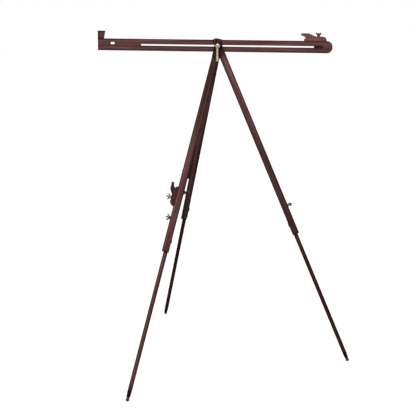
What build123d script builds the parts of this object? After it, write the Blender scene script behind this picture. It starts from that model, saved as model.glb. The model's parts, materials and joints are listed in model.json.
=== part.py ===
from build123d import *
import os
from math import cos, radians, sin, sqrt, tan

# A folding wooden field easel: three telescopic legs, a slotted beam that tilts and slides on one
# clamped bolt, a fixed lip, and three hooked claws that slide along the beam and the front legs.
# Millimetres, +Z up, floor at z = 0. The front, where the lip is, faces -X. Right is -Y, left is +Y.

os.makedirs("parts", exist_ok=True)

# Stance, in millimetres and degrees
pivot_height = 1256.0
front_lean = 12.4
rear_lean = 23.6
splay = 20.5

# Clearances
running_gap = 0.05
seat_gap = 0.08
slide_gap = 0.3
swing_gap = 0.5
stop_gap = 0.2

# Beam
beam_length = 901.0
beam_height = 45.0
beam_thickness = 16.4
beam_front_reach = 468.0
beam_tail_radius = 20.5
beam_edge_radius = 1.5
slot_front_margin = 166.0
slot_rear_margin = 37.0
grip_hole_length = 20.0
grip_hole_height = 9.0
grip_hole_centre = 56.5
grip_hole_rise = 5.2

# Lip on the front end of the beam
lip_base = 21.5
lip_top = 27.0
lip_height = 29.4
lip_edge_radius = 1.5
lip_screw_radius = 1.8
lip_screw_head_radius = 3.3
lip_screw_bite = 22.0
lip_screw_spacing = 7.5

# Head: cheeks on both sides of the rear leg's fork, all on one bolt
pivot_radius = 3.0
pivot_washer_radius = 10.0
pivot_washer_thickness = 1.6
pivot_head_radius = 9.0
pivot_head_height = 6.0
cheek_rise = 25.5
cheek_front_chamfer = 1.2
cheek_rear_chamfer = 8.0
fork_rise = 30.5
fork_front_chamfer = 4.0
fork_rear_chamfer = 10.0
knuckle_drop = 56.0
knuckle_pin_radius = 3.0
shoulder_drop = 13.1
tongue_thickness = 9.0
tongue_radius = 11.0
fork_depth = 105.0

# Clamping lever
lever_hub_radius = 8.6
lever_hub_height = 10.0
lever_dome_radius = 4.0
lever_thread_depth = 7.5
lever_reach = 54.0
lever_neck_width = 5.6
lever_tip_width = 8.2
lever_arm_thickness = 5.0
lever_arm_standoff = 3.0

# Legs: U-shaped upper legs, with slotted lower legs sliding in them
leg_depth = 25.0
leg_wall = 4.2
leg_web = 6.5
leg_edge_radius = 1.5
front_overlap = 217.5
rear_overlap = 201.4
front_channel_top = 40.0
lower_depth = 15.0
lower_length = 760.0
lower_edge_radius = 1.2
lower_tip_length = 20.0
lower_tip_taper = 4.0
lower_slot_top = 22.0
lower_slot_end_margin = 190.0
front_clamp_from_end = 128.0
rear_clamp_from_end = 119.0
keeper_from_end = 44.0

# Feet
foot_radius = 7.0
foot_flat_radius = 3.4
foot_neck_radius = 4.4
foot_collar_radius = 5.2
foot_spigot_radius = 3.6
foot_spigot_length = 14.0
foot_ball_drop = 8.6

# Keepers across the open side of the upper legs
keeper_height = 14.0
keeper_thickness = 1.5
keeper_screw_stagger = 4.0
keeper_screw_radius = 1.0
keeper_screw_length = 9.0
keeper_screw_head_radius = 2.1
keeper_screw_head_height = 1.7
keeper_screw_dome = 1.2

# Clamp and claw bolts, with their wing nuts
bolt_radius = 3.0
bolt_slot_width = 6.6
bolt_tip = 9.0
beam_bolt_tip = 4.5
bolt_tip_chamfer = 0.7
washer_radius = 7.0
washer_thickness = 1.2
clamp_plate_size = 15.0
clamp_plate_thickness = 2.2
nut_hub_radius = 5.6
nut_hub_height = 8.0
nut_hub_taper = 7.0
wing_spread = 24.0
wing_height = 13.5
wing_thickness = 2.4
wing_root_low = 1.5
wing_tip_width = 4.2
wing_tip_low = 8.5
wing_corner_radius = 1.8
beam_nut_turn = 36.0
rear_nut_turn = 48.0

# Hooked claws
claw_height = 28.0
claw_width = 16.0
claw_bolt_places = {"beam": 54.0, "leg": 43.0}
claw_crowns = {"beam": 18.0, "leg": 14.0}
hook_reaches = {"beam": 11.5, "leg": 14.0}
hook_lip = 8.0
notch_depth = 6.0
notch_low = 7.0
notch_middle = 10.6
notch_high = 16.7
saddle_front = 9.5
saddle_rear = 16.0
saddle_height = 16.5
tail_length = 31.0
hook_corner_radius = 2.5
crown_corner_radius = 9.0
claw_edge_radius = 1.0
beam_claw_travel = 165.0
slot_plate_length = 33.0
claw_above_clamp = {"right": 76.0, "left": 107.0}
leg_claw_rise = 200.0
leg_claw_fall = 20.0
track_width = 13.0
track_depth = 3.0
track_head_thickness = 2.6

# Sizes that follow from the ones above
channel_width = beam_thickness + 2 * slide_gap
leg_width = channel_width + 2 * leg_wall
lower_width = channel_width - 2 * slide_gap
web_inner = leg_depth / 2 - leg_web
lower_centre = web_inner - slide_gap - lower_depth / 2
lower_back = lower_centre - lower_depth / 2
cheek_thickness = leg_width
cheek_offset = leg_width / 2 + swing_gap + cheek_thickness / 2
stack_half = cheek_offset + cheek_thickness / 2
pivot_slot_height = 2 * (pivot_radius + running_gap)
ear_radius = shoulder_drop - stop_gap
lower_slot_length = lower_length - lower_slot_top - lower_slot_end_margin
foot_rise = sqrt(foot_radius**2 - foot_flat_radius**2)
nut_top = washer_thickness + nut_hub_height

# Directions of the legs
front_turn = radians(front_lean)
rear_turn = radians(rear_lean)
splay_turn = radians(splay)
lateral = Vector(0, 1, 0)
front_face = Vector(-cos(front_turn), 0, sin(front_turn))
cheek_down = Vector(-sin(front_turn), 0, -cos(front_turn))
rear_face = Vector(cos(rear_turn), 0, sin(rear_turn))
rear_down = Vector(sin(rear_turn), 0, -cos(rear_turn))

# The pivot bolt stands so that the whole easel is centred over the origin from front to back
rear_foot_drop = (pivot_height + lower_centre * sin(rear_turn) - foot_rise) / cos(rear_turn)
rear_reach = rear_foot_drop * sin(rear_turn) + lower_centre * cos(rear_turn) + foot_radius
pivot = Vector((beam_front_reach - rear_reach) / 2, 0, pivot_height)
side_plane = Plane(origin=pivot, x_dir=(1, 0, 0), z_dir=(0, -1, 0))

# Leg frames: local X out of the clamped face, local Z down the leg, from the hinge of that leg
SIDES = {"right": -1, "left": 1}
leg_frames = {"rear": Plane(origin=pivot, x_dir=rear_face, z_dir=rear_down)}
cheek_frames = {}
for side, sign in SIDES.items():
    cheek_centre = pivot + lateral * (sign * cheek_offset)
    cheek_frames[side] = Plane(origin=cheek_centre, x_dir=front_face, z_dir=cheek_down)
    knuckle = cheek_centre + cheek_down * knuckle_drop
    leg_down = cheek_down * cos(splay_turn) + lateral * (sign * sin(splay_turn))
    leg_frames[side] = Plane(origin=knuckle, x_dir=front_face, z_dir=leg_down)


def save(part, name):
    """Name a finished piece and write its file."""
    part.label = name
    export_step(part, f"parts/{name}.step")


def place(part, name, plane):
    """Write a copy of a repeated piece, carried from the origin to a plane."""
    save(part.moved(plane.location), name)


def face_plane(leg, depth, drop):
    """Plane square to the clamped face of a leg, its X axis running down the leg."""
    return Plane(origin=leg.from_local_coords((depth, 0, drop)), x_dir=leg.z_dir, z_dir=leg.x_dir)


def back_plane(leg, drop):
    """Plane on the open side of a leg, looking out of it, its X axis running down the leg."""
    origin = leg.from_local_coords((-leg_depth / 2, 0, drop))
    return Plane(origin=origin, x_dir=leg.z_dir, z_dir=-leg.x_dir)


def foot_drop(leg):
    """Distance down the leg from its hinge to the centre of the ball foot."""
    return (leg.origin.Z + lower_centre * leg.x_dir.Z - foot_rise) / -leg.z_dir.Z


def leg_end(leg, overlap):
    """Distance down the leg from its hinge to the end of the upper leg, which holds that much lower leg."""
    return foot_drop(leg) - foot_ball_drop - lower_length + overlap


def disc(plane, radius, start, end, mode=Mode.ADD):
    """Add a round length along the plane's normal to the open part, or cut it."""
    with BuildSketch(plane.offset(start)) as section:
        Circle(radius)
    extrude(section.sketch, amount=end - start, mode=mode)


def head_outline(rise, face_chamfer, back_chamfer, end):
    """Corners of a leg's head seen from the side: X to its clamped face, Y down the leg."""
    half = leg_depth / 2
    return [
        (half, end),
        (half, face_chamfer - rise),
        (half - face_chamfer, -rise),
        (back_chamfer - half, -rise),
        (-half, back_chamfer - rise),
        (-half, end),
    ]


def hollow_leg(leg, channel_top, clamp_drop, end):
    """Cut the open part as an upper leg: channel, clamp bolt hole and keeper screw holes."""
    with BuildSketch(leg.offset(channel_top)) as channel:
        with Locations((web_inner, 0)):
            Rectangle(leg_depth, channel_width, align=(Align.MAX, Align.CENTER))
    extrude(channel.sketch, amount=end - channel_top, mode=Mode.SUBTRACT)
    disc(face_plane(leg, 0, clamp_drop), bolt_radius + seat_gap, 0, leg_depth, Mode.SUBTRACT)
    with BuildSketch(back_plane(leg, end - keeper_from_end)) as screw_holes:
        with Locations(*keeper_screw_places):
            Circle(keeper_screw_radius + seat_gap)
    extrude(screw_holes.sketch, amount=-keeper_screw_length, mode=Mode.SUBTRACT)


# Where the upper legs end, and where their clamp bolts go through, measured down from each hinge
leg_ends = {
    "rear": leg_end(leg_frames["rear"], rear_overlap),
    "right": leg_end(leg_frames["right"], front_overlap),
    "left": leg_end(leg_frames["left"], front_overlap),
}
clamp_drops = {
    "rear": leg_ends["rear"] - rear_clamp_from_end,
    "right": leg_ends["right"] - front_clamp_from_end,
    "left": leg_ends["left"] - front_clamp_from_end,
}

# Washer, with its bolt along Z
with BuildPart() as washer:
    with BuildSketch():
        Circle(washer_radius)
        Circle(bolt_radius + seat_gap, mode=Mode.SUBTRACT)
    extrude(amount=washer_thickness)

# Wing nut on its washer, its wings spread along X
wing_half = wing_spread / 2
hub_top_radius = nut_hub_radius - nut_hub_height * tan(radians(nut_hub_taper))
with BuildPart() as wing_nut:
    with BuildSketch(Plane.XZ) as wings:
        with BuildLine():
            Polyline(
                (0, washer_thickness + wing_root_low),
                (hub_top_radius, washer_thickness + wing_root_low),
                (wing_half, washer_thickness + wing_tip_low),
                (wing_half, washer_thickness + wing_height),
                (wing_half - wing_tip_width, washer_thickness + wing_height),
                (hub_top_radius, washer_thickness + nut_hub_height),
                (0, washer_thickness + nut_hub_height),
                close=True,
            )
        make_face()
        fillet(wings.vertices().group_by(Axis.Y)[-1], wing_corner_radius)
        fillet(wings.vertices().group_by(Axis.X)[-1].sort_by(Axis.Y)[0], wing_corner_radius)
        mirror(about=Plane.YZ)
    extrude(amount=wing_thickness / 2, both=True)
    with BuildSketch(Plane.XY.offset(washer_thickness)):
        Circle(nut_hub_radius)
    extrude(amount=nut_hub_height, taper=nut_hub_taper)
    disc(Plane.XY, bolt_radius + running_gap, 0, washer_thickness + wing_height, Mode.SUBTRACT)

# Hooked claws, the bolt along Z and the hook towards -X: a long one for the beam, a short one for legs
claws = {}
for kind, bolt_place in claw_bolt_places.items():
    tooth = -bolt_place
    crown_end = tooth + claw_crowns[kind]
    hook_tip = tooth - hook_reaches[kind]
    with BuildPart() as claw:
        with BuildSketch(Plane.XZ) as profile:
            with BuildLine():
                Polyline(
                    (tail_length, 0),
                    (tooth, 0),
                    (tooth, notch_low),
                    (tooth + notch_depth, notch_middle),
                    (tooth, notch_high),
                    (hook_tip, claw_height - hook_lip),
                    (hook_tip, claw_height),
                    (crown_end, claw_height),
                    (-saddle_front, saddle_height),
                    (saddle_rear, saddle_height),
                )
                TangentArc((saddle_rear, saddle_height), (tail_length, 0), tangent=(1, 0))
            make_face()
            fillet(profile.vertices().group_by(Axis.X)[0], hook_corner_radius)
            slope_ends = profile.vertices().filter_by_position(Axis.X, crown_end, -saddle_front)
            fillet(slope_ends, crown_corner_radius)
        extrude(amount=claw_width / 2, both=True)
        flanks = claw.faces().filter_by(Axis.Y)
        fillet(flanks.edges(), claw_edge_radius)
        disc(Plane.XY, bolt_radius + seat_gap, 0, claw_height, Mode.SUBTRACT)
    claws[kind] = claw.part

# Bolts with a square plate for a head, standing on the face that their nut clamps
clamp_plate_top = lower_back - leg_depth / 2 - stop_gap
with BuildPart() as clamp_bolt:
    disc(Plane.XY, bolt_radius, clamp_plate_top, nut_top + bolt_tip)
    chamfer(clamp_bolt.edges().group_by(Axis.Z)[-1], bolt_tip_chamfer)
    with BuildSketch(Plane.XY.offset(clamp_plate_top)):
        Rectangle(clamp_plate_size, clamp_plate_size)
    extrude(amount=-clamp_plate_thickness)
track_head_size = track_width - 2 * slide_gap
track_head_top = track_depth - leg_web - stop_gap
with BuildPart() as leg_claw_bolt:
    disc(Plane.XY, bolt_radius, track_head_top, saddle_height + nut_top + bolt_tip)
    chamfer(leg_claw_bolt.edges().group_by(Axis.Z)[-1], bolt_tip_chamfer)
    with BuildSketch(Plane.XY.offset(track_head_top)):
        Rectangle(track_head_size, track_head_size)
    extrude(amount=-track_head_thickness)

# Keeper across the open side of a leg, with a pad that guides the lower leg, and its two screws
keeper_recess = lower_back + leg_depth / 2
screw_reach = (channel_width + leg_wall) / 2
keeper_screw_places = [(-keeper_screw_stagger, -screw_reach), (keeper_screw_stagger, screw_reach)]
with BuildPart() as keeper:
    with BuildSketch():
        Rectangle(keeper_height, leg_width - 2 * leg_edge_radius)
        with Locations(*keeper_screw_places):
            Circle(keeper_screw_radius + seat_gap, mode=Mode.SUBTRACT)
    extrude(amount=keeper_thickness)
    with BuildSketch():
        Rectangle(keeper_height, lower_width)
    extrude(amount=slide_gap - keeper_recess)
with BuildPart() as keeper_screws:
    with BuildSketch(Plane.XY.offset(keeper_thickness)):
        with Locations(*keeper_screw_places):
            Circle(keeper_screw_head_radius)
    extrude(amount=keeper_screw_head_height)
    fillet(keeper_screws.edges().group_by(Axis.Z)[-1], keeper_screw_dome)
    with BuildSketch(Plane.XY.offset(keeper_thickness)):
        with Locations(*keeper_screw_places):
            Circle(keeper_screw_radius)
    extrude(amount=slide_gap - keeper_screw_length)

# Lower leg with the middle of its lower end at the origin, Z down the leg and X to the clamped face
with BuildPart() as lower_leg:
    with BuildSketch(Plane.XY.offset(-lower_length)):
        RectangleRounded(lower_depth, lower_width, lower_edge_radius)
    extrude(amount=lower_length - lower_tip_length)
    with BuildSketch(Plane.XY.offset(-lower_tip_length)):
        RectangleRounded(lower_depth, lower_width, lower_edge_radius)
    extrude(amount=lower_tip_length, taper=lower_tip_taper)
    with BuildSketch(Plane.YZ):
        with Locations((0, lower_slot_top + lower_slot_length / 2 - lower_length)):
            SlotOverall(lower_slot_length, bolt_slot_width, rotation=90)
    extrude(amount=lower_depth, both=True, mode=Mode.SUBTRACT)
    disc(Plane.XY, foot_spigot_radius + seat_gap, -foot_spigot_length - slide_gap, 0, Mode.SUBTRACT)

# Beam, with its side slot, its oblong hole and the claw bolt's slot through the upper rail
beam_front = -beam_front_reach
beam_rear = beam_front + beam_length
slot_front = beam_front + slot_front_margin
slot_rear = beam_rear - slot_rear_margin
beam_claw_place = slot_rear - stop_gap - slot_plate_length / 2
beam_top = Plane(origin=pivot + Vector(0, 0, beam_height / 2), x_dir=(1, 0, 0), z_dir=(0, 0, 1))
lip_screw_first = beam_front + (lip_base - lip_screw_spacing) / 2
lip_screw_places = [(lip_screw_first, 0), (lip_screw_first + lip_screw_spacing, 0)]
with BuildPart() as beam:
    with BuildSketch(side_plane) as outline:
        with Locations((beam_front + beam_length / 2, 0)):
            Rectangle(beam_length, beam_height)
        fillet(outline.vertices().group_by(Axis.X)[-1], beam_tail_radius)
    extrude(amount=beam_thickness / 2, both=True)
    flanks = beam.faces().filter_by(Axis.Y)
    fillet(flanks.edges(), beam_edge_radius)
    with BuildSketch(side_plane):
        with Locations(((slot_front + slot_rear) / 2, 0)):
            SlotOverall(slot_rear - slot_front, pivot_slot_height)
        with Locations((beam_front + grip_hole_centre, grip_hole_rise)):
            SlotOverall(grip_hole_length, grip_hole_height)
    extrude(amount=beam_thickness, both=True, mode=Mode.SUBTRACT)
    with BuildSketch(beam_top):
        with Locations((beam_claw_place - beam_claw_travel / 2, 0)):
            SlotOverall(beam_claw_travel + bolt_slot_width, bolt_slot_width)
    extrude(amount=-beam_height / 2, mode=Mode.SUBTRACT)
    with BuildSketch(beam_top):
        with Locations(*lip_screw_places):
            Circle(lip_screw_radius + seat_gap)
    extrude(amount=-lip_screw_bite - slide_gap, mode=Mode.SUBTRACT)
save(beam.part, "beam")

# Lip: a block on the beam's front end, wider at its top so that its inner face holds a board down
with BuildPart() as canvas_lip:
    with BuildSketch(side_plane.shift_origin(beam_top.origin)) as profile:
        with BuildLine():
            Polyline(
                (beam_front, 0),
                (beam_front, lip_height),
                (beam_front + lip_top, lip_height),
                (beam_front + lip_base, 0),
                close=True,
            )
        make_face()
        fillet(profile.vertices().group_by(Axis.Y)[-1], lip_edge_radius)
    extrude(amount=beam_thickness / 2, both=True)
    fillet(canvas_lip.faces().filter_by(Axis.Y).edges(), lip_edge_radius / 2)
    with Locations(beam_top.offset(lip_height)):
        with Locations(*lip_screw_places):
            CounterSinkHole(
                lip_screw_radius + seat_gap,
                lip_screw_head_radius + seat_gap,
                depth=lip_height,
            )
save(canvas_lip.part, "canvas_lip")
with BuildPart() as lip_screws:
    for along, across in lip_screw_places:
        centre = beam_top.from_local_coords((along, across, lip_height))
        with BuildSketch(Plane(origin=centre, x_dir=(1, 0, 0), z_dir=(0, -1, 0))):
            with BuildLine():
                Polyline(
                    (0, 0),
                    (lip_screw_head_radius, 0),
                    (lip_screw_radius, lip_screw_radius - lip_screw_head_radius),
                    (lip_screw_radius, -lip_height - lip_screw_bite),
                    (0, -lip_height - lip_screw_bite),
                    close=True,
                )
            make_face()
        revolve(axis=Axis(centre, (0, 0, 1)))
save(lip_screws.part, "lip_screws")

# Claw on the beam: its bolt goes down into a plate that slides in the side slot
claw_seat = Plane(
    origin=beam_top.from_local_coords((beam_claw_place, 0, 0)), x_dir=(1, 0, 0), z_dir=(0, 0, 1)
)
plate_middle = -beam_height / 2
plate_half = pivot_radius - slide_gap
with BuildPart() as slot_plate:
    with BuildSketch(side_plane):
        with Locations((beam_claw_place, 0)):
            SlotOverall(slot_plate_length, 2 * plate_half)
    extrude(amount=beam_thickness / 2, both=True)
    disc(claw_seat, bolt_radius + seat_gap, -beam_height, 0, Mode.SUBTRACT)
save(slot_plate.part, "beam_claw_plate")
nut_plane = claw_seat.offset(saddle_height)
with BuildPart() as beam_claw_bolt:
    disc(nut_plane, bolt_radius, plate_middle - plate_half - saddle_height, nut_top + beam_bolt_tip)
    chamfer(beam_claw_bolt.edges().group_by(Axis.Z)[-1], bolt_tip_chamfer)
save(beam_claw_bolt.part, "beam_claw_bolt")
place(claws["beam"], "beam_claw", claw_seat)
place(washer.part, "beam_claw_washer", nut_plane)
place(wing_nut.part.rotate(Axis.Z, beam_nut_turn), "beam_claw_wing_nut", nut_plane)

# Pivot bolt with its two washers, and the lever that clamps the whole head
far_seat = Plane(origin=pivot + lateral * stack_half, x_dir=(1, 0, 0), z_dir=(0, 1, 0))
near_seat = Plane(origin=pivot - lateral * stack_half, x_dir=(1, 0, 0), z_dir=(0, -1, 0))
with BuildPart() as pivot_washers:
    for seat in (far_seat, near_seat):
        disc(seat, pivot_washer_radius, 0, pivot_washer_thickness)
        disc(seat, pivot_radius + seat_gap, 0, pivot_washer_thickness, Mode.SUBTRACT)
save(pivot_washers.part, "pivot_washers")
with BuildPart() as pivot_bolt:
    head_top = pivot_washer_thickness + pivot_head_height
    disc(far_seat, pivot_head_radius, pivot_washer_thickness, head_top)
    fillet(pivot_bolt.edges().group_by(Axis.Y)[-1], lever_dome_radius)
    near_end = -2 * stack_half - pivot_washer_thickness - lever_thread_depth + stop_gap
    disc(far_seat, pivot_radius, near_end, pivot_washer_thickness)
save(pivot_bolt.part, "pivot_bolt")
lever_seat = near_seat.offset(pivot_washer_thickness)
with BuildPart() as clamp_lever:
    disc(lever_seat, lever_hub_radius, 0, lever_hub_height)
    fillet(clamp_lever.edges().group_by(Axis.Y)[0], lever_dome_radius)
    with BuildSketch(lever_seat.offset(lever_arm_standoff)):
        Circle(lever_neck_width / 2)
        with Locations((0, -lever_reach)):
            Circle(lever_tip_width / 2)
        make_hull()
    extrude(amount=lever_arm_thickness)
    disc(lever_seat, pivot_radius + running_gap, 0, lever_thread_depth, Mode.SUBTRACT)
save(clamp_lever.part, "clamp_lever")

# Cheeks: the heads of the front legs, on the pivot bolt, each with a tongue and pin for its leg
for side, cheek_frame in cheek_frames.items():
    leg = leg_frames[side]
    profile_plane = Plane(origin=cheek_frame.origin, x_dir=front_face, z_dir=-lateral)
    tongue_plane = Plane(origin=leg.origin, x_dir=lateral, z_dir=front_face)
    shoulder = knuckle_drop - shoulder_drop
    half_depth = leg_depth / 2
    cheek_corners = head_outline(cheek_rise, cheek_front_chamfer, cheek_rear_chamfer, shoulder)
    with BuildPart() as cheek:
        with BuildSketch(profile_plane):
            with BuildLine():
                Polyline(*cheek_corners, close=True)
            make_face()
        extrude(amount=cheek_thickness / 2, both=True)
        flanks = cheek.faces().filter_by(Axis.Y)
        fillet(flanks.edges(), leg_edge_radius)
        with BuildSketch(tongue_plane):
            Circle(tongue_radius)
            Rectangle(2 * tongue_radius, shoulder_drop, align=(Align.CENTER, Align.MAX))
        extrude(amount=tongue_thickness / 2, both=True)
        disc(tongue_plane, knuckle_pin_radius + seat_gap, -half_depth, half_depth, Mode.SUBTRACT)
        disc(profile_plane, pivot_radius + running_gap, -cheek_thickness, cheek_thickness, Mode.SUBTRACT)
    save(cheek.part, f"{side}_cheek")
    with BuildPart() as knuckle_pin:
        disc(tongue_plane, knuckle_pin_radius, -half_depth, half_depth)
    save(knuckle_pin.part, f"{side}_knuckle_pin")

# Upper front legs: two ears round the cheek's tongue, with a flat that stops the leg at its splay.
# The slot between them is as round as the sweep of the tongue's edges when the leg folds.
tongue_sweep = tongue_radius / cos(splay_turn) + slide_gap
for side, sign in SIDES.items():
    leg = leg_frames[side]
    ear_plane = Plane(origin=leg.origin, x_dir=leg.y_dir, z_dir=leg.x_dir)
    half_width = leg_width / 2
    stop_run = (half_width - ear_radius * sin(splay_turn)) / cos(splay_turn)
    with BuildPart() as upper_leg:
        with BuildSketch(leg):
            RectangleRounded(leg_depth, leg_width, leg_edge_radius)
        extrude(amount=leg_ends[side])
        with BuildSketch(ear_plane):
            Circle(ear_radius)
            with BuildLine():
                Polyline(
                    (0, 0),
                    (sign * ear_radius * sin(splay_turn), -ear_radius * cos(splay_turn)),
                    (sign * half_width, stop_run * sin(splay_turn) - ear_radius * cos(splay_turn)),
                    (sign * half_width, 0),
                    close=True,
                )
            make_face()
            Rectangle(leg_width, 2 * ear_radius, mode=Mode.INTERSECT)
        extrude(amount=leg_depth / 2, both=True)
        with BuildSketch(ear_plane):
            Circle(tongue_sweep)
            Rectangle(2 * leg_width, 2 * leg_width, align=(Align.CENTER, Align.MAX))
        extrude(amount=tongue_thickness / 2 + slide_gap, both=True, mode=Mode.SUBTRACT)
        disc(ear_plane, knuckle_pin_radius + running_gap, -leg_depth, leg_depth, Mode.SUBTRACT)
        hollow_leg(leg, front_channel_top, clamp_drops[side], leg_ends[side])
        claw_drop = clamp_drops[side] - claw_above_clamp[side]
        track_middle = claw_drop + (leg_claw_fall - leg_claw_rise) / 2
        track_length = leg_claw_fall + leg_claw_rise
        with BuildSketch(face_plane(leg, web_inner, track_middle)):
            SlotOverall(track_length + bolt_slot_width, bolt_slot_width)
        extrude(amount=leg_web, mode=Mode.SUBTRACT)
        with BuildSketch(face_plane(leg, web_inner, track_middle)):
            Rectangle(track_length + track_width, track_width)
        extrude(amount=track_depth, mode=Mode.SUBTRACT)
    save(upper_leg.part, f"{side}_upper_leg")

    # Claw on the front face of the leg, its bolt's square head sliding in a track inside the channel
    claw_seat = face_plane(leg, leg_depth / 2, claw_drop)
    nut_plane = claw_seat.offset(saddle_height)
    place(claws["leg"], f"{side}_claw", claw_seat)
    place(leg_claw_bolt.part, f"{side}_claw_bolt", claw_seat)
    place(washer.part, f"{side}_claw_washer", nut_plane)
    place(wing_nut.part, f"{side}_claw_wing_nut", nut_plane)

# Upper rear leg: the channel's walls run on above its web as a fork for the beam
leg = leg_frames["rear"]
fork_corners = head_outline(fork_rise, fork_rear_chamfer, fork_front_chamfer, leg_ends["rear"])
with BuildPart() as rear_upper_leg:
    with BuildSketch(Plane(origin=leg.origin, x_dir=leg.x_dir, z_dir=lateral)):
        with BuildLine():
            Polyline(*fork_corners, close=True)
        make_face()
    extrude(amount=leg_width / 2, both=True)
    flanks = rear_upper_leg.faces().filter_by(Axis.Y)
    fillet(flanks.edges(), leg_edge_radius)
    with BuildSketch(leg.offset(-fork_rise)):
        Rectangle(2 * leg_depth, channel_width)
    extrude(amount=fork_rise + fork_depth, mode=Mode.SUBTRACT)
    disc(side_plane, pivot_radius + running_gap, -leg_width, leg_width, Mode.SUBTRACT)
    hollow_leg(leg, fork_depth, clamp_drops["rear"], leg_ends["rear"])
save(rear_upper_leg.part, "rear_upper_leg")

# Lower legs, keepers, clamps and ball feet, the same on all three legs
neck_meets_ball = foot_ball_drop - sqrt(foot_radius**2 - foot_neck_radius**2)
for name, leg in leg_frames.items():
    clamp_seat = face_plane(leg, leg_depth / 2, clamp_drops[name])
    keeper_seat = back_plane(leg, leg_ends[name] - keeper_from_end)
    lower_end = leg.from_local_coords((lower_centre, 0, foot_drop(leg) - foot_ball_drop))
    place(clamp_bolt.part, f"{name}_clamp_bolt", clamp_seat)
    place(washer.part, f"{name}_clamp_washer", clamp_seat)
    nut_turn = rear_nut_turn if name == "rear" else 0
    place(wing_nut.part.rotate(Axis.Z, nut_turn), f"{name}_clamp_wing_nut", clamp_seat)
    place(keeper.part, f"{name}_keeper", keeper_seat)
    place(keeper_screws.part, f"{name}_keeper_screws", keeper_seat)
    place(lower_leg.part, f"{name}_lower_leg", Plane(origin=lower_end, x_dir=leg.x_dir, z_dir=leg.z_dir))

    # The foot turns about the leg's own axis, and is cut flat where it stands on the floor
    with BuildPart() as foot:
        with BuildSketch(Plane(origin=lower_end, x_dir=leg.x_dir, z_dir=-leg.y_dir)):
            with BuildLine():
                Polyline(
                    (0, foot_ball_drop + foot_radius),
                    (0, -foot_spigot_length),
                    (foot_spigot_radius, -foot_spigot_length),
                    (foot_spigot_radius, 0),
                    (foot_collar_radius, 0),
                    (foot_neck_radius, neck_meets_ball),
                )
                ThreePointArc(
                    (foot_neck_radius, neck_meets_ball),
                    (foot_radius, foot_ball_drop),
                    (0, foot_ball_drop + foot_radius),
                )
            make_face()
        revolve(axis=Axis(lower_end, leg.z_dir))
        split(bisect_by=Plane.XY, keep=Keep.TOP)
    save(foot.part, f"{name}_foot")
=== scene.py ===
"""Looks of a folding field easel: stained wood, brass wing nuts, a clamping lever and a pale studio."""

import json
import math

import bmesh
import bpy
from bpy.props import FloatProperty, FloatVectorProperty, PointerProperty
from bpy.types import Operator, Panel, PropertyGroup
from mathutils import Matrix, Vector

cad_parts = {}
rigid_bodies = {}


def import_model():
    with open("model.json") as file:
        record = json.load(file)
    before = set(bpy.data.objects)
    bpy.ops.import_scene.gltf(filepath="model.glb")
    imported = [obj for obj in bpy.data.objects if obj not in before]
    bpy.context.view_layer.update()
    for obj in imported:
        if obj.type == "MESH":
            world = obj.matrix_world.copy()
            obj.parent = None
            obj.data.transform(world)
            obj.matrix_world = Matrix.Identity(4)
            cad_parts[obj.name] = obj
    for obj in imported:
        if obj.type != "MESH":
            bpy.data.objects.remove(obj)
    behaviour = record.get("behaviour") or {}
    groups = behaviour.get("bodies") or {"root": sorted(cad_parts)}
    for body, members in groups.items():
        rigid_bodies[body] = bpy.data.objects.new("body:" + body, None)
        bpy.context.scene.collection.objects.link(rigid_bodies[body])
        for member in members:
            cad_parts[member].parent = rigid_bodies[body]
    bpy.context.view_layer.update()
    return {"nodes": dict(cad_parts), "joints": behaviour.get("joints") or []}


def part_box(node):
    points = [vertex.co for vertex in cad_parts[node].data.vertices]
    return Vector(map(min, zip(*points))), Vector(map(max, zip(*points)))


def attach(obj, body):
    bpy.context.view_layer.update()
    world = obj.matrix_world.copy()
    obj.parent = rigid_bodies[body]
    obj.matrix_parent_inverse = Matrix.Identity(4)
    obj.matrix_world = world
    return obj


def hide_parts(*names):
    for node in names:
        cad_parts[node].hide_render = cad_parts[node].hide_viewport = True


bl_info = {
    "name": "Field easel finishes",
    "version": (1, 0, 0),
    "blender": (4, 5, 0),
    "location": "View3D > Sidebar > Easel",
    "description": "Stains the wood of a folding field easel, finishes its metal and lights it in a studio",
    "category": "Object",
}

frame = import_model()
joints = {joint["name"]: joint for joint in frame["joints"]}

LEGS = ("rear", "right", "left")
FRONT_LEGS = ("right", "left")

# How dark the painted shade is along an edge, round and inside a slot, and at the end of a board
EDGE_PAINTED_SHADE = 0.38
SLOT_PAINTED_SHADE = 0.42
END_PAINTED_SHADE = 0.45

# How far the grain moves from one seed to the next, so that no two boards are alike
SEED_STEP = (0.031, 0.017, 0.83)

# Level of the shader's highlights on varnish and on the feet, low enough to keep their colours deep
VARNISH_GLOSS = 0.012
FOOT_GLOSS = 0.14

# Slots in the beam's side: place along and across it from its middle, half the straight run, radius
SIDE_SLOT = (0.0645, 0.0, 0.3460, 0.00305)
GRIP_HOLE = (-0.3940, -0.0052, 0.0055, 0.0045)

# Painted light and shade along the legs, darker in the shade at the head and lighter where the legs come
# nearer the lamps, measured down from the clamp: start, end, and the shade at each
UPPER_PAINTED_LIGHT = {
    "rear": ((-0.645, -0.615, 0.36, 1.0), (-0.62, -0.25, 1.35, 1.0)),
    "right": ((-0.62, 0.0, 0.47, 1.15),),
    "left": ((-0.60, -0.42, 0.75, 1.0), (-0.31, -0.22, 1.5, 0.92)),
}
# Painted light on the lower legs, lighter at their tops, nearer the lamps
LOWER_PAINTED_LIGHT = {
    "rear": (0.12, 0.26, 1.80, 1.0),
    "right": (0.12, 0.40, 1.45, 1.0),
    "left": (0.12, 0.60, 1.90, 0.80),
}

# Dark stain above a foot: how far above its middle it starts and is full, and its shade
TIP_STAIN = (0.029, 0.023, 0.30)
SECOND_STAIN = (0.048, 0.044, 0.62)

# Threaded bolts: sides of a turn, how much the end narrows, and how many radii out a head plate starts
THREAD_SIDES = 28
BOLT_END = 0.92
PLATE_START = 1.2

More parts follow.
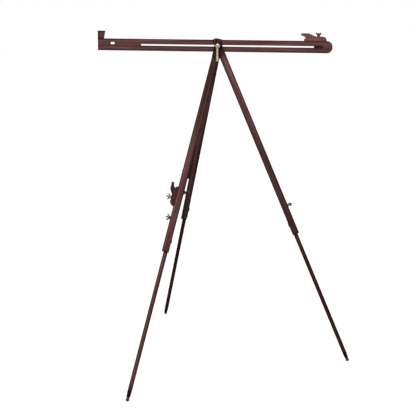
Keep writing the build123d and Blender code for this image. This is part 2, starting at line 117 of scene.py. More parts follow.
# Softboxes: place, and the point that each is aimed at
SOFTBOXES = {
    "key": ((-0.15, -1.0, 2.55), (0, 0, 0.9)),
    "back": ((0.3, 1.6, 2.5), (0, 0, 0.8)),
}
SOFTBOX_WIDTH = 1.4
SOFTBOX_HEIGHT = 1.0

# Floor: sides of its rim, and its white glow, from the first radius to the second and level to level
FLOOR_SIDES = 96
FLOOR_GLOW = (0.4, 4.0, 0.80, 0.97)

SENSOR_WIDTH = 36.0
WHITE = (1, 1, 1, 1)


def tint(name, description, default):
    """Colour property of a stain, a metal or a paint."""
    return FloatVectorProperty(
        name=name, description=description, default=default, subtype="COLOR", size=3, min=0, max=1
    )


def tone(name, default):
    """How light one piece of wood is beside the others."""
    description = f"How light the wood is: {name.lower()}"
    return FloatProperty(name=name, description=description, default=default, min=0.2, max=2)


def distance(name, description, default):
    """Length property in metres."""
    return FloatProperty(name=name, description=description, default=default, unit="LENGTH", precision=4)


def angle(name, description, default):
    """Angle property in radians."""
    return FloatProperty(name=name, description=description, default=default, subtype="ANGLE")


def power(name, description, default):
    """Power property of a lamp, in watts."""
    return FloatProperty(name=name, description=description, default=default, unit="POWER")


class EaselFinish(PropertyGroup):
    """Colours of the stains, metals, paint, feet and floor."""

    stain_light: tint("Stain, light", "Stain between the grain lines", (0.214, 0.092, 0.090))
    stain_dark: tint("Stain, dark", "Stain along the grain lines", (0.098, 0.042, 0.042))
    # The rear and left lower legs' stain is redder, and darker partly as painted shade, the rear leg's foot
    # being farther from the lamps and the left leg turned from them
    lower_light: tint("Lower leg, light", "Redder stain of the rear and left ones", (0.150, 0.044, 0.036))
    lower_dark: tint("Lower leg, dark", "Grain lines of the rear and left ones", (0.066, 0.018, 0.014))
    worn_wood: tint("Worn edge", "Wood showing where edges are rubbed", (0.210, 0.095, 0.070))
    lever_brass: tint("Lever brass", "Pale polished brass", (0.600, 0.530, 0.370))
    lever_tarnish: tint("Lever tarnish", "Dull patches on the lever", (0.300, 0.245, 0.140))
    nut_brass: tint("Nut brass", "Rubbed brass of the wing nuts", (0.400, 0.265, 0.110))
    nut_dulled: tint("Dulled brass", "Brown brass of the front clamps", (0.190, 0.128, 0.052))
    nut_tarnish: tint("Nut tarnish", "Blackened brass in the hollows", (0.040, 0.028, 0.016))
    steel: tint("Blackened steel", "Bolts, pins, washers and screws", (0.022, 0.021, 0.020))
    steel_rubbed: tint("Rubbed steel", "Bare steel where it is rubbed", (0.085, 0.079, 0.073))
    plate_black: tint("Plate black", "Paint of the keepers and of the slot's plate", (0.012, 0.012, 0.013))
    plate_worn: tint("Plate worn", "Scratched paint on those pieces", (0.022, 0.021, 0.020))
    foot_red: tint("Foot red", "Glossy red-brown of the ball feet", (0.215, 0.028, 0.009))
    foot_scuffed: tint("Foot scuffed", "Scuffed underside of the feet", (0.080, 0.018, 0.010))
    floor: tint("Floor", "Pale studio floor", (0.400, 0.400, 0.400))


class EaselTones(PropertyGroup):
    """Lightness of each piece of wood, one number for each piece; the left legs' are lower partly as painted
    shade.
    """

    beam: tone("Beam", 1.0)
    canvas_lip: tone("Lip", 0.76)
    cheek: tone("Cheeks", 0.38)
    rear_upper: tone("Rear upper leg", 1.1)
    right_upper: tone("Right upper leg", 1.05)
    # Darker partly as painted shade of the far leg, which faces away from the lamps
    left_upper: tone("Left upper leg", 0.86)
    rear_lower: tone("Rear lower leg", 0.95)
    right_lower: tone("Right lower leg", 1.1)
    # Darker partly as painted shade of the far leg, which faces away from the lamps
    left_lower: tone("Left lower leg", 0.8)
    beam_claw: tone("Beam's claw", 1.4)
    right_claw: tone("Right claw", 0.5)
    left_claw: tone("Left claw", 0.5)


class EaselSizes(PropertyGroup):
    """Sizes that the grain, the painted shade and the wear at the edges, and the threads follow."""

    leg_depth: distance("Leg depth", "Depth of an upper leg, clamped face to open side", 0.025)
    leg_width: distance("Leg width", "Width of an upper leg across its channel", 0.0254)
    lower_depth: distance("Lower leg depth", "Depth of a lower leg", 0.015)
    lower_width: distance("Lower leg width", "Width of a lower leg", 0.0164)
    lower_back: distance("Lower leg offset", "How far behind the upper leg's middle it runs", 0.0018)
    claw_reach: distance("Claw reach", "How far from its nut a claw's dark edges lie", 0.028)
    claw_width: distance("Claw width", "Width of a claw across the leg or beam", 0.016)
    bolt_radius: distance("Bolt radius", "Radius of a threaded bolt", 0.003)
    bolt_pitch: distance("Bolt pitch", "Distance from one turn of a bolt's thread to the next", 0.001)
    thread_depth: distance("Thread depth", "Depth of a bolt's thread", 0.0005)
    # Width of the painted shade along an edge, round a slot and at an end; its outer part is also where
    # corners are worn
    shade_and_wear_width: distance("Edge rub", "Width of the dark band along an edge", 0.0064)


class EaselStage(PropertyGroup):
    """Camera, lamps and studio levels."""

    camera_place: FloatVectorProperty(
        name="Camera", description="Where the camera stands", default=(0.22876, -3.3052, 1.3210),
        subtype="TRANSLATION", unit="LENGTH", precision=4,
    )
    yaw: angle("Yaw", "Turn to the right", -0.0916)
    pitch: angle("Pitch", "Tilt downwards", 0.2083)
    roll: angle("Roll", "Turn about the line of sight", 0.0112)
    lens: FloatProperty(
        name="Lens", description="Focal length on a 36 mm sensor", default=73.558,
        unit="CAMERA", subtype="DISTANCE_CAMERA",
    )
    floor_radius: distance("Floor radius", "Radius of the round floor", 40.0)
    fill: FloatProperty(name="Fill", description="Level of the even light from all round", default=0.30)
    key: power("Key", "Power of the softbox above the near side", 34.0)
    back: power("Back", "Power of the softbox above the far side", 18.0)


def own_colour(key):
    """Colour of the finish, as plain numbers."""
    return tuple(getattr(bpy.context.scene.easel_finish, key))


def upper_stain():
    """Light and dark of the stain on all the wood but two lower legs."""
    return own_colour("stain_light"), own_colour("stain_dark")


def grain_frame(face, along, centre):
    """Matrix of a piece: X out of its face, Z along the grain, and its middle at the centre."""
    z = Vector(along).normalized()
    x = Vector(face)
    x = (x - z * x.dot(z)).normalized()
    y = z.cross(x)
    turn = Matrix((x, y, z)).transposed()
    return Matrix.Translation(Vector(centre)) @ turn.to_4x4()


def leg_frame(leg):
    """Frame of a leg, taken from its clamp and its slide, at the height of the clamp."""
    clamp = joints[f"{leg}_clamp_nut_turn"]
    face = Vector(clamp["axis"])
    down = -Vector(joints[f"{leg}_leg_slide"]["axis"])
    depth = bpy.context.scene.easel_sizes.leg_depth
    return grain_frame(face, down, Vector(clamp["pos_m"]) - face * depth / 2)


def bolt_frame(bolt):
    """Frame of a wing nut's bolt: Z along the bolt, X along the piece that the nut holds."""
    turn = joints[f"{bolt}_nut_turn"]
    slide = joints[f"{bolt.replace('_clamp', '_leg')}_slide"]
    return grain_frame(slide["axis"], turn["axis"], turn["pos_m"])


def corners_in(node, matrix):
    """Vertices of a node, in a frame's own coordinates."""
    back = matrix.inverted()
    return [back @ vertex.co for vertex in frame["nodes"][node].data.vertices]


def reach(node, matrix):
    """Where a node starts and ends along the Z of a frame."""
    along = [corner.z for corner in corners_in(node, matrix)]
    return min(along), max(along)


def middle(node):
    """Middle of a node's box."""
    low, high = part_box(node)
    return (low + high) / 2


def give(material, *nodes):
    """Put a material on nodes of the frame."""
    for node in nodes:
        mesh = frame["nodes"][node].data
        mesh.materials.clear()
        mesh.materials.append(material)


def new_object(name, shape, material):
    """Object of the scene from a bmesh, which is then freed."""
    mesh = bpy.data.meshes.new(name)
    shape.to_mesh(mesh)
    shape.free()
    mesh.materials.append(material)
    made = bpy.data.objects.new(name, mesh)
    bpy.context.scene.collection.objects.link(made)
    return made


class Finish:
    """A material being put together from nodes."""

    def __init__(self, name):
        self.material = bpy.data.materials.new(name)
        self.material.use_nodes = True
        self.tree = self.material.node_tree
        self.shader = self.tree.nodes["Principled BSDF"]
        self.coords = self.add("ShaderNodeTexCoord").outputs["Object"]

    def add(self, kind, **settings):
        """New node with its settings."""
        node = self.tree.nodes.new(kind)
        for key, value in settings.items():
            setattr(node, key, value)
        return node

    def link(self, source, socket):
        """Join an output to an input, or set the input to a value."""
        if isinstance(source, bpy.types.NodeSocket):
            self.tree.links.new(source, socket)
        else:
            socket.default_value = source

    def feed(self, key, source):
        """Join an output to the shader, or set the shader's own socket."""
        self.link(source, self.shader.inputs[key])

    def local(self, matrix):
        """Coordinates in a piece's own frame, in metres."""
        node = self.add("ShaderNodeMapping", vector_type="TEXTURE")
        self.link(self.coords, node.inputs["Vector"])
        node.inputs["Location"].default_value = matrix.translation
        node.inputs["Rotation"].default_value = matrix.to_euler("XYZ")
        return node.outputs["Vector"]

    def scaled(self, vector, scale):
        """Coordinates stretched along each axis."""
        node = self.add("ShaderNodeVectorMath", operation="MULTIPLY")
        self.link(vector, node.inputs[0])
        node.inputs[1].default_value = scale
        return node.outputs["Vector"]

    def length(self, vector):
        """Length of a vector."""
        node = self.add("ShaderNodeVectorMath", operation="LENGTH")
        self.link(vector, node.inputs[0])
        return node.outputs["Value"]

    def axes(self, vector):
        """The three numbers of a vector."""
        node = self.add("ShaderNodeSeparateXYZ")
        self.link(vector, node.inputs["Vector"])
        return node.outputs

    def noise(self, vector, scale, detail=3.0, rough=0.5, twist=0.0):
        """Noise from 0 to 1."""
        node = self.add("ShaderNodeTexNoise")
        self.link(self.scaled(vector, scale), node.inputs["Vector"])
        node.inputs["Scale"].default_value = 1.0
        node.inputs["Detail"].default_value = detail
        node.inputs["Roughness"].default_value = rough
        node.inputs["Distortion"].default_value = twist
        return node.outputs["Fac"]

    def rings(self, vector, scale, twist):
        """Growth rings round the grain, as bands from 0 to 1."""
        node = self.add("ShaderNodeTexWave", wave_type="RINGS", rings_direction="Z", wave_profile="SAW")
        self.link(vector, node.inputs["Vector"])
        node.inputs["Scale"].default_value = scale
        node.inputs["Distortion"].default_value = twist
        node.inputs["Detail"].default_value = 2.0
        node.inputs["Detail Scale"].default_value = 1.4
        return node.outputs["Fac"]

    def ramp(self, value, low, high, start=0.0, end=1.0):
        """Smooth step from start, where the value is low, to end, where it is high."""
        node = self.add("ShaderNodeMapRange", interpolation_type="SMOOTHSTEP")
        self.link(value, node.inputs["Value"])
        for key, number in zip(("From Min", "From Max", "To Min", "To Max"), (low, high, start, end)):
            node.inputs[key].default_value = number
        return node.outputs["Result"]

    def math(self, operation, first, second=0.0):
        """One sum of two values."""
        node = self.add("ShaderNodeMath", operation=operation)
        self.link(first, node.inputs[0])
        self.link(second, node.inputs[1])
        return node.outputs["Value"]

    def times(self, first, second):
        """Two values multiplied."""
        return self.math("MULTIPLY", first, second)

    def plus(self, first, second):
        """Two values added."""
        return self.math("ADD", first, second)

    def less(self, first, second):
        """One value less another."""
        return self.math("SUBTRACT", first, second)

    def size(self, value):
        """A value without its sign."""
        return self.math("ABSOLUTE", value)

    def mix(self, factor, first, second, blend="MIX"):
        """Two colours mixed by a factor."""
        node = self.add("ShaderNodeMix", data_type="RGBA", blend_type=blend)
        self.link(factor, node.inputs["Factor"])
        colours = [socket for socket in node.inputs if socket.type == "RGBA"]
        for source, socket in zip((first, second), colours):
            if not isinstance(source, bpy.types.NodeSocket):
                source = (*source, 1.0)
            self.link(source, socket)
        return next(socket for socket in node.outputs if socket.type == "RGBA")

    def shaded(self, colour, shade):
        """A colour made lighter or darker by a shade."""
        node = self.add("ShaderNodeCombineColor")
        for socket in node.inputs:
            self.link(shade, socket)
        return self.mix(1.0, colour, node.outputs["Color"], "MULTIPLY")

    def slot_reach(self, place, along, across, half_run):
        """Distance from the middle line of a slot that runs along the grain."""
        offset = self.size(self.less(place["Z"], along))
        node = self.add("ShaderNodeCombineXYZ")
        self.link(self.math("MAXIMUM", self.less(offset, half_run), 0.0), node.inputs["X"])
        self.link(self.less(place["Y"], across), node.inputs["Y"])
        return self.length(node.outputs["Vector"])

    def bump(self, height, strength, depth):
        """Bump the surface by a height from 0 to 1, to a depth in metres."""
        node = self.add("ShaderNodeBump")
        node.inputs["Strength"].default_value = strength
        node.inputs["Distance"].default_value = depth
        self.link(height, node.inputs["Height"])
        self.feed("Normal", node.outputs["Normal"])


def stained_wood(name, matrix, half, stain, lightness, seed, fades=(), slots=()):
    """Varnished wood with its grain along the frame's Z, painted shade along its edges and round its slots,
    and rubbed at the corners.

    Half is half the depth and half the width of the board. A fade is a start and an end along the grain,
    with the shade at each. A slot is where it lies along and across the board, half its straight run and
    its radius.
    """
    finish = Finish(name)
    band_width = bpy.context.scene.easel_sizes.shade_and_wear_width
    shifted = matrix.copy()
    shift = matrix.to_3x3() @ Vector([step * seed for step in SEED_STEP])
    shifted.translation = matrix.translation - shift
    grain = finish.local(shifted)
    place = finish.axes(finish.local(matrix))

    # Noise is scaled out of the face, across the board and along the grain, in waves to the metre
    figure = finish.noise(grain, (75, 75, 3.0), detail=4.0, rough=0.55, twist=0.35)
    streaks = finish.noise(grain, (520, 520, 9.0), rough=0.6)
    pores = finish.ramp(finish.noise(grain, (1500, 1500, 48.0), detail=2.0), 0.56, 0.72)
    blotch = finish.noise(grain, (16, 16, 5.0), detail=2.0)
    bent = finish.scaled(grain, (1.0, 1.0, 0.055))
    rings = finish.ramp(finish.rings(bent, 42.0, 2.6), 0.45, 1.0)
    patches = finish.noise(grain, (160, 160, 26.0), detail=4.0, rough=0.65)
    # Masks of the band along the edges, for the painted shade there and for the worn corners
    near_face, near_side = (
        finish.ramp(finish.size(place[axis]), limit - band_width, limit - band_width * 0.2)
        for axis, limit in zip("XY", half)
    )
    edge = finish.times(near_face, near_side)

    light, dark = (tuple(part * lightness for part in colour) for colour in stain)
    colour = finish.mix(finish.ramp(figure, 0.34, 0.68), dark, light)
    shade = finish.ramp(streaks, 0.35, 0.72, 0.80, 1.14)
    shade = finish.times(shade, finish.ramp(blotch, 0.3, 0.7, 0.86, 1.12))
    shade = finish.times(shade, finish.ramp(rings, 0.0, 1.0, 1.04, 0.78))
    shade = finish.times(shade, finish.ramp(pores, 0.0, 1.0, 1.0, 0.62))
    # Painted shade along the edges, where a rounded edge turns from the light
    shade = finish.times(shade, finish.ramp(edge, 0.1, 0.8, 1.0, EDGE_PAINTED_SHADE))
    # Fades along the grain: painted light and shade, and the dark stain above a foot
    for fade in fades:
        shade = finish.times(shade, finish.ramp(place["Z"], *fade))
    # Painted shade round each slot and on its walls, where the hole lies in shade
    for along, across, half_run, radius in slots:
        out = finish.slot_reach(place, along, across, half_run)
        shade = finish.times(shade, finish.ramp(out, radius, radius + band_width, SLOT_PAINTED_SHADE, 1.0))
    colour = finish.shaded(colour, shade)

    corner = finish.times(finish.ramp(edge, 0.9, 1.0), finish.ramp(patches, 0.52, 0.68))
    worn = finish.times(corner, 0.5)
    finish.feed("Base Color", finish.mix(worn, colour, own_colour("worn_wood")))
    rough = finish.plus(finish.ramp(streaks, 0.3, 0.75, 0.56, 0.70), finish.times(pores, 0.16))
    finish.feed("Roughness", finish.plus(rough, finish.times(worn, 0.15)))
    finish.bump(finish.less(finish.times(streaks, 0.5), pores), strength=0.22, depth=0.00035)
    finish.feed("Specular IOR Level", VARNISH_GLOSS)
    return finish.material


def painted_shade_start(start, band_width):
    """Fade of the painted shade where a board starts."""
    return start + band_width / 3, start + band_width, END_PAINTED_SHADE, 1.0


def painted_shade_end(end, band_width):
    """Fade of the painted shade where a board ends."""
    return end - band_width, end - band_width / 3, 1.0, END_PAINTED_SHADE


def worn_metal(name, bright, dull, cloud_scale, roughness, tarnished=0.52, metallic=1.0):
    """Metal or paint with cloudy tarnish, fine scratches and uneven gloss, in two colours of the finish."""
    finish = Finish(name)
    clouds = finish.noise(finish.coords, (cloud_scale,) * 3, detail=5.0, rough=0.62, twist=0.3)
    scratch_scale = (cloud_scale * 9, cloud_scale * 2, cloud_scale * 14)
    scratches = finish.noise(finish.coords, scratch_scale, detail=2.0)
    tarnish = finish.ramp(clouds, tarnished - 0.12, tarnished + 0.12)
    colour = finish.mix(tarnish, own_colour(bright), own_colour(dull))
    finish.feed("Base Color", finish.shaded(colour, finish.ramp(scratches, 0.3, 0.7, 0.86, 1.08)))
    gloss = finish.ramp(tarnish, 0.0, 1.0, roughness, roughness + 0.22)
    uneven = finish.ramp(scratches, 0.3, 0.7, -0.05, 0.08)
    finish.feed("Roughness", finish.plus(gloss, uneven))
    finish.bump(finish.plus(clouds, finish.times(scratches, 0.4)), strength=0.10, depth=0.0002)
    finish.feed("Metallic", metallic)
    finish.feed("Specular IOR Level", 0.5 * metallic)
    return finish.material


def lift(shape, rim, rise, grow):
    """Draw a ring of edges up along Z, wider or narrower, and give back the new ring."""
    drawn = bmesh.ops.extrude_edge_only(shape, edges=rim)["geom"]
    ring = [part for part in drawn if isinstance(part, bmesh.types.BMVert)]
    edges = [part for part in drawn if isinstance(part, bmesh.types.BMEdge)]
    bmesh.ops.translate(shape, verts=ring, vec=(0, 0, rise))
    bmesh.ops.scale(shape, verts=ring, vec=(grow, grow, 1))
    return [edge for edge in edges if all(corner in ring for corner in edge.verts)]


def head_plate(shape, corners, low):
    """Square plate at the foot of a bolt, from the corners of its node, and the height of its middle."""
    half = max(corner.x for corner in corners)
    thick = max(corner.z for corner in corners) - low
    centre = low + thick / 2
    block = Matrix.Translation((0, 0, centre)) @ Matrix.Diagonal((2 * half, 2 * half, thick, 1))
    bmesh.ops.create_cube(shape, size=1.0, matrix=block)
    bmesh.ops.bevel(
        shape, geom=shape.edges[:], offset=thick / 6, affect="EDGES", segments=2, profile=0.5, material=-1
    )
    return centre


def threaded_bolt(bolt, material):
    """Bolt with turned threads in place of a plain one, with the same square plate for a head."""
    sizes = bpy.context.scene.easel_sizes
    node, matrix = f"{bolt}_bolt", bolt_frame(bolt)
    low, high = reach(node, matrix)
    corners = corners_in(node, matrix)
    outside = [corner for corner in corners if abs(corner.x) > PLATE_START * sizes.bolt_radius]
    shape = bmesh.new()
    foot = head_plate(shape, outside, low) if outside else low

    root = sizes.bolt_radius - sizes.thread_depth
    crest = sizes.bolt_radius / root
    at_foot = Matrix.Translation((0, 0, foot))
    disc = bmesh.ops.create_circle(shape, cap_ends=True, segments=THREAD_SIDES, radius=root, matrix=at_foot)
    rim = disc["verts"][0].link_faces[0].edges[:]
    turns = int((high - foot) / sizes.bolt_pitch)
    for _ in range(turns):
        rim = lift(shape, rim, sizes.bolt_pitch / 2, crest)
        rim = lift(shape, rim, sizes.bolt_pitch / 2, 1 / crest)
    rim = lift(shape, rim, high - foot - turns * sizes.bolt_pitch, BOLT_END)
    bmesh.ops.contextual_create(shape, geom=rim)
    bmesh.ops.recalc_face_normals(shape, faces=shape.faces[:])
    bmesh.ops.transform(shape, matrix=matrix, verts=shape.verts[:])

    piece = new_object(f"{bolt}_thread", shape, material)
    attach(piece, joints[f"{bolt}_nut_turn"]["parent"])
    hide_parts(node)


class EaselOperator:
    """What the easel's operators share."""

    bl_options = {"REGISTER", "UNDO"}


class EASEL_OT_beam(EaselOperator, Operator):
    """Stain the slotted beam and the lip at its front end."""

    bl_idname = "easel.beam"
    bl_label = "Beam and lip"

    def execute(self, context):
        tones, band_width = context.scene.easel_tones, context.scene.easel_sizes.shade_and_wear_width
        slots = {"beam": (SIDE_SLOT, GRIP_HOLE), "canvas_lip": ()}
        for seed, node, along in ((1, "beam", (1, 0, 0)), (2, "canvas_lip", (0, 0, 1))):
            low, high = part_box(node)
            sides = (high - low) / 2
            half = sides.y, sides.z if node == "beam" else sides.x
            matrix = grain_frame((0, -1, 0), along, middle(node))
            start, end = reach(node, matrix)
            # Painted shade at both ends of the board
            fades = painted_shade_start(start, band_width), painted_shade_end(end, band_width)
            wood = stained_wood(
                f"{node}_wood", matrix, half, upper_stain(), getattr(tones, node), seed, fades, slots[node]
            )
            give(wood, node)
        return {"FINISHED"}


class EASEL_OT_heads(EaselOperator, Operator):
    """Stain the two cheeks on either side of the beam."""

    bl_idname = "easel.heads"
    bl_label = "Cheeks"

    def execute(self, context):
        tones, sizes = context.scene.easel_tones, context.scene.easel_sizes
        half = sizes.leg_depth / 2, sizes.leg_width / 2
        for seed, side in enumerate(FRONT_LEGS, 3):
            face = Vector(joints[f"{side}_clamp_nut_turn"]["axis"])
            down = face.cross(Vector((0, 1, 0)))
            matrix = grain_frame(face, down, joints[f"{side}_head_swing"]["pos_m"])
            wood = stained_wood(f"{side}_cheek_wood", matrix, half, upper_stain(), tones.cheek, seed)
            give(wood, f"{side}_cheek")
        return {"FINISHED"}


class EASEL_OT_upper_legs(EaselOperator, Operator):
    """Stain the three channelled upper legs."""

    bl_idname = "easel.upper_legs"
    bl_label = "Upper legs"

    def execute(self, context):
        tones, sizes = context.scene.easel_tones, context.scene.easel_sizes
        half = sizes.leg_depth / 2, sizes.leg_width / 2
        for seed, leg in enumerate(LEGS, 5):
            node, matrix = f"{leg}_upper_leg", leg_frame(leg)
            end = reach(node, matrix)[1]
            # Painted light and shade along the leg, and painted shade at its end
            fades = *UPPER_PAINTED_LIGHT[leg], painted_shade_end(end, sizes.shade_and_wear_width)
            lightness = getattr(tones, f"{leg}_upper")
            wood = stained_wood(f"{leg}_upper_wood", matrix, half, upper_stain(), lightness, seed, fades)
            give(wood, node)
        return {"FINISHED"}


class EASEL_OT_lower_legs(EaselOperator, Operator):
    """Stain the three sliding lower legs, dark above the feet."""

    bl_idname = "easel.lower_legs"
    bl_label = "Lower legs"

    def execute(self, context):
        tones, sizes = context.scene.easel_tones, context.scene.easel_sizes
        half = sizes.lower_depth / 2, sizes.lower_width / 2
        # Redder stain for the rear and left lower legs, darker partly as painted shade
        redder_and_shaded = own_colour("lower_light"), own_colour("lower_dark")
        stains = {"rear": redder_and_shaded, "right": upper_stain(), "left": redder_and_shaded}
        for seed, leg in enumerate(LEGS, 8):
            matrix = leg_frame(leg) @ Matrix.Translation((-sizes.lower_back, 0, 0))
            tip = (matrix.inverted() @ middle(f"{leg}_foot")).z
            bands = (TIP_STAIN, SECOND_STAIN) if leg == "right" else (TIP_STAIN,)
            # Painted light along the leg, and the dark stain above the foot
            fades = LOWER_PAINTED_LIGHT[leg], *((tip - start, tip - full, 1.0, shade) for start, full, shade in bands)
            lightness = getattr(tones, f"{leg}_lower")
            wood = stained_wood(f"{leg}_lower_wood", matrix, half, stains[leg], lightness, seed, fades)
            give(wood, f"{leg}_lower_leg")
        return {"FINISHED"}


class EASEL_OT_claws(EaselOperator, Operator):
    """Stain the three hooked claws."""

    bl_idname = "easel.claws"
    bl_label = "Claws"

    def execute(self, context):
        tones, sizes = context.scene.easel_tones, context.scene.easel_sizes
        half = sizes.claw_reach, sizes.claw_width / 2
        for seed, holder in enumerate(("beam", *FRONT_LEGS), 11):
            claw = f"{holder}_claw"
            turn, slide = joints[f"{claw}_nut_turn"], joints[f"{claw}_slide"]
            matrix = grain_frame(turn["axis"], slide["axis"], turn["pos_m"])
            wood = stained_wood(f"{claw}_wood", matrix, half, upper_stain(), getattr(tones, claw), seed)
            give(wood, claw)
        return {"FINISHED"}


class EASEL_OT_lever(EaselOperator, Operator):
    """Polish the brass clamping lever."""

    bl_idname = "easel.lever"
    bl_label = "Lever"

    def execute(self, context):
        brass = worn_metal("lever_brass", "lever_brass", "lever_tarnish", cloud_scale=130.0, roughness=0.22)
        give(brass, "clamp_lever")
        return {"FINISHED"}


class EASEL_OT_wing_nuts(EaselOperator, Operator):
    """Age the brass of the wing nuts on the legs."""

    bl_idname = "easel.wing_nuts"
    bl_label = "Wing nuts"

    def execute(self, context):
        rubbed = worn_metal(
            "rubbed_brass", "nut_brass", "nut_tarnish", cloud_scale=170.0, roughness=0.34, tarnished=0.49
        )
        give(rubbed, "rear_clamp_wing_nut", *(f"{side}_claw_wing_nut" for side in FRONT_LEGS))
        dulled = worn_metal(
            "dulled_brass", "nut_dulled", "nut_tarnish", cloud_scale=170.0, roughness=0.40, tarnished=0.44
        )
        give(dulled, *(f"{side}_clamp_wing_nut" for side in FRONT_LEGS))
        return {"FINISHED"}


class EASEL_OT_bolts(EaselOperator, Operator):
    """Blacken the washers, the pins and the bolts, and thread the bolts of the wing nuts."""

    bl_idname = "easel.bolts"
    bl_label = "Bolts and washers"

    def execute(self, context):
        steel = worn_metal("blackened_steel", "steel", "steel_rubbed", cloud_scale=210.0, roughness=0.42)
        give(steel, "pivot_bolt", "pivot_washers", "beam_claw_wing_nut", "beam_claw_washer")
        give(steel, *(f"{leg}_clamp_washer" for leg in LEGS))
        give(steel, *(f"{side}_{piece}" for side in FRONT_LEGS for piece in ("claw_washer", "knuckle_pin")))
        for bolt in (*(f"{leg}_clamp" for leg in LEGS), *(f"{side}_claw" for side in FRONT_LEGS)):
            threaded_bolt(bolt, steel)
        brass = worn_metal("bolt_brass", "nut_brass", "nut_tarnish", cloud_scale=170.0, roughness=0.34)
        threaded_bolt("beam_claw", brass)
        return {"FINISHED"}


class EASEL_OT_keepers(EaselOperator, Operator):
    """Paint the keepers on the legs black and darken all the wood screws."""

    bl_idname = "easel.keepers"
    bl_label = "Keepers and screws"

    def execute(self, context):
        strap = worn_metal(
            "keeper_paint", "plate_black", "plate_worn", cloud_scale=260.0, roughness=0.52, metallic=0.0
        )
        screw = worn_metal("screw_steel", "steel_rubbed", "steel", cloud_scale=420.0, roughness=0.36)
        give(strap, *(f"{leg}_keeper" for leg in LEGS))
        give(screw, "lip_screws", *(f"{leg}_keeper_screws" for leg in LEGS))
        return {"FINISHED"}


class EASEL_OT_slot_plate(EaselOperator, Operator):
    """Paint the plate in the beam's slot."""

    bl_idname = "easel.slot_plate"
    bl_label = "Slot plate"

    def execute(self, context):
        paint = worn_metal(
            "plate_paint", "plate_black", "plate_worn", cloud_scale=300.0, roughness=0.46, metallic=0.0
        )
        give(paint, "beam_claw_plate")
        return {"FINISHED"}


class EASEL_OT_feet(EaselOperator, Operator):
    """Colour the ball feet, scuffed where they meet the floor."""

    bl_idname = "easel.feet"
    bl_label = "Feet"

    def execute(self, context):
        finish = Finish("foot_gloss")
        clouds = finish.noise(finish.coords, (240.0,) * 3, detail=4.0, rough=0.6)
        height = finish.axes(finish.coords)["Z"]
        scuff = finish.ramp(finish.plus(height, finish.times(clouds, 0.006)), 0.0035, 0.0085, 1.0, 0.0)
        red = finish.shaded(own_colour("foot_red"), finish.ramp(clouds, 0.3, 0.7, 0.8, 1.15))
        finish.feed("Base Color", finish.mix(scuff, red, own_colour("foot_scuffed")))
        gloss = finish.ramp(scuff, 0.0, 1.0, 0.24, 0.62)
        finish.feed("Roughness", finish.plus(gloss, finish.times(clouds, 0.08)))
        finish.bump(clouds, strength=0.08, depth=0.0002)
        finish.feed("Specular IOR Level", FOOT_GLOSS)
        give(finish.material, *(f"{leg}_foot" for leg in LEGS))
        return {"FINISHED"}


def seen_straight(tree):
    """1 for rays that show the background itself: from the camera, or by way of gloss or glass."""
    path = tree.nodes.new("ShaderNodeLightPath")
    seen = path.outputs["Is Camera Ray"]
    for ray in ("Is Glossy Ray", "Is Transmission Ray"):
        widest = tree.nodes.new("ShaderNodeMath")
        widest.operation = "MAXIMUM"
        tree.links.new(seen, widest.inputs[0])
        tree.links.new(path.outputs[ray], widest.inputs[1])
        seen = widest.outputs["Value"]
    return seen


def softbox(name, place, target, watts):
    """Large rectangular lamp aimed at a point."""
    lamp = bpy.data.lights.new(name, "AREA")
    lamp.shape = "RECTANGLE"
    lamp.size = SOFTBOX_WIDTH
    lamp.size_y = SOFTBOX_HEIGHT
    lamp.energy = watts
    holder = bpy.data.objects.new(name, lamp)
    bpy.context.scene.collection.objects.link(holder)
    holder.location = place
    holder.visible_camera = False
    aim = Vector(target) - Vector(place)
    holder.rotation_euler = aim.to_track_quat("-Z", "Y").to_euler()


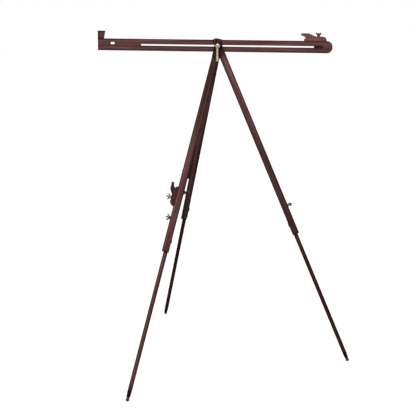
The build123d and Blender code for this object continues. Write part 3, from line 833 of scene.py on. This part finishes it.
class EASEL_OT_stage(EaselOperator, Operator):
    """Lay the pale floor, set the lamps and the white surroundings, and place the camera."""

    bl_idname = "easel.stage"
    bl_label = "Studio"

    def execute(self, context):
        scene, stage = context.scene, context.scene.easel_stage
        self.floor(stage)
        self.surroundings(scene, stage)
        for lamp, (place, target) in SOFTBOXES.items():
            softbox(f"{lamp}_softbox", place, target, getattr(stage, lamp))
        self.camera(scene, stage)
        scene.view_settings.view_transform = "Standard"
        return {"FINISHED"}

    def floor(self, stage):
        """Round floor that looks white, with the feet's shadows on it."""
        finish = Finish("studio_floor")
        finish.feed("Base Color", (*own_colour("floor"), 1.0))
        finish.feed("Roughness", 0.9)
        finish.feed("Specular IOR Level", 0.0)
        finish.feed("Emission Color", WHITE)
        glow = finish.ramp(finish.length(finish.coords), *FLOOR_GLOW)
        finish.feed("Emission Strength", finish.times(seen_straight(finish.tree), glow))
        disc = bmesh.new()
        bmesh.ops.create_circle(disc, cap_ends=True, segments=FLOOR_SIDES, radius=stage.floor_radius)
        new_object("floor", disc, finish.material)

    def surroundings(self, scene, stage):
        """World that fills the shadows evenly and is itself seen as white."""
        world = bpy.data.worlds.new("white_studio")
        world.use_nodes = True
        tree = world.node_tree
        fill = tree.nodes["Background"]
        fill.inputs["Color"].default_value = WHITE
        fill.inputs["Strength"].default_value = stage.fill
        white = tree.nodes.new("ShaderNodeBackground")
        white.inputs["Color"].default_value = WHITE
        white.inputs["Strength"].default_value = 1.0
        either = tree.nodes.new("ShaderNodeMixShader")
        tree.links.new(seen_straight(tree), either.inputs["Fac"])
        tree.links.new(fill.outputs["Background"], either.inputs[1])
        tree.links.new(white.outputs["Background"], either.inputs[2])
        tree.links.new(either.outputs["Shader"], tree.nodes["World Output"].inputs["Surface"])
        scene.world = world

    def camera(self, scene, stage):
        """Camera at the photograph's place, turned by its yaw, pitch and roll."""
        data = bpy.data.cameras.new("photo_camera")
        data.lens = stage.lens
        data.sensor_width = SENSOR_WIDTH
        camera = bpy.data.objects.new("photo_camera", data)
        scene.collection.objects.link(camera)
        flat = math.cos(stage.pitch)
        ahead = Vector((math.sin(stage.yaw) * flat, math.cos(stage.yaw) * flat, -math.sin(stage.pitch)))
        right = Vector((math.cos(stage.yaw), -math.sin(stage.yaw), 0))
        above = right.cross(ahead)
        rolled = right * math.cos(stage.roll) + above * math.sin(stage.roll)
        top = above * math.cos(stage.roll) - right * math.sin(stage.roll)
        turn = Matrix((rolled, top, -ahead)).transposed().to_4x4()
        camera.matrix_world = Matrix.Translation(Vector(stage.camera_place)) @ turn
        scene.camera = camera


class EASEL_PT_sidebar(Panel):
    """Lists the easel's finishes and the studio."""

    bl_idname = "EASEL_PT_sidebar"
    bl_label = "Field easel"
    bl_space_type = "VIEW_3D"
    bl_region_type = "UI"
    bl_category = "Easel"

    def draw(self, context):
        for operator in OPERATORS:
            self.layout.operator(operator.bl_idname)
        for key, group in PROPERTY_GROUPS.items():
            box = self.layout.box()
            settings = getattr(context.scene, key)
            for setting in group.__annotations__:
                box.prop(settings, setting)


PROPERTY_GROUPS = {
    "easel_finish": EaselFinish,
    "easel_tones": EaselTones,
    "easel_sizes": EaselSizes,
    "easel_stage": EaselStage,
}
OPERATORS = (
    EASEL_OT_beam,
    EASEL_OT_heads,
    EASEL_OT_upper_legs,
    EASEL_OT_lower_legs,
    EASEL_OT_claws,
    EASEL_OT_lever,
    EASEL_OT_wing_nuts,
    EASEL_OT_bolts,
    EASEL_OT_keepers,
    EASEL_OT_slot_plate,
    EASEL_OT_feet,
    EASEL_OT_stage,
)


def register():
    """Register the classes and hang the properties on the scene."""
    for item in (*PROPERTY_GROUPS.values(), *OPERATORS, EASEL_PT_sidebar):
        bpy.utils.register_class(item)
    for key, group in PROPERTY_GROUPS.items():
        setattr(bpy.types.Scene, key, PointerProperty(type=group))


def unregister():
    """Take away what register added."""
    for key in PROPERTY_GROUPS:
        delattr(bpy.types.Scene, key)
    for item in (EASEL_PT_sidebar, *reversed(OPERATORS), *reversed(PROPERTY_GROUPS.values())):
        bpy.utils.unregister_class(item)


def main():
    """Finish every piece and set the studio."""
    register()
    for operator in OPERATORS:
        group, name = operator.bl_idname.split(".")
        getattr(getattr(bpy.ops, group), name)()


if __name__ == "__main__":
    main()
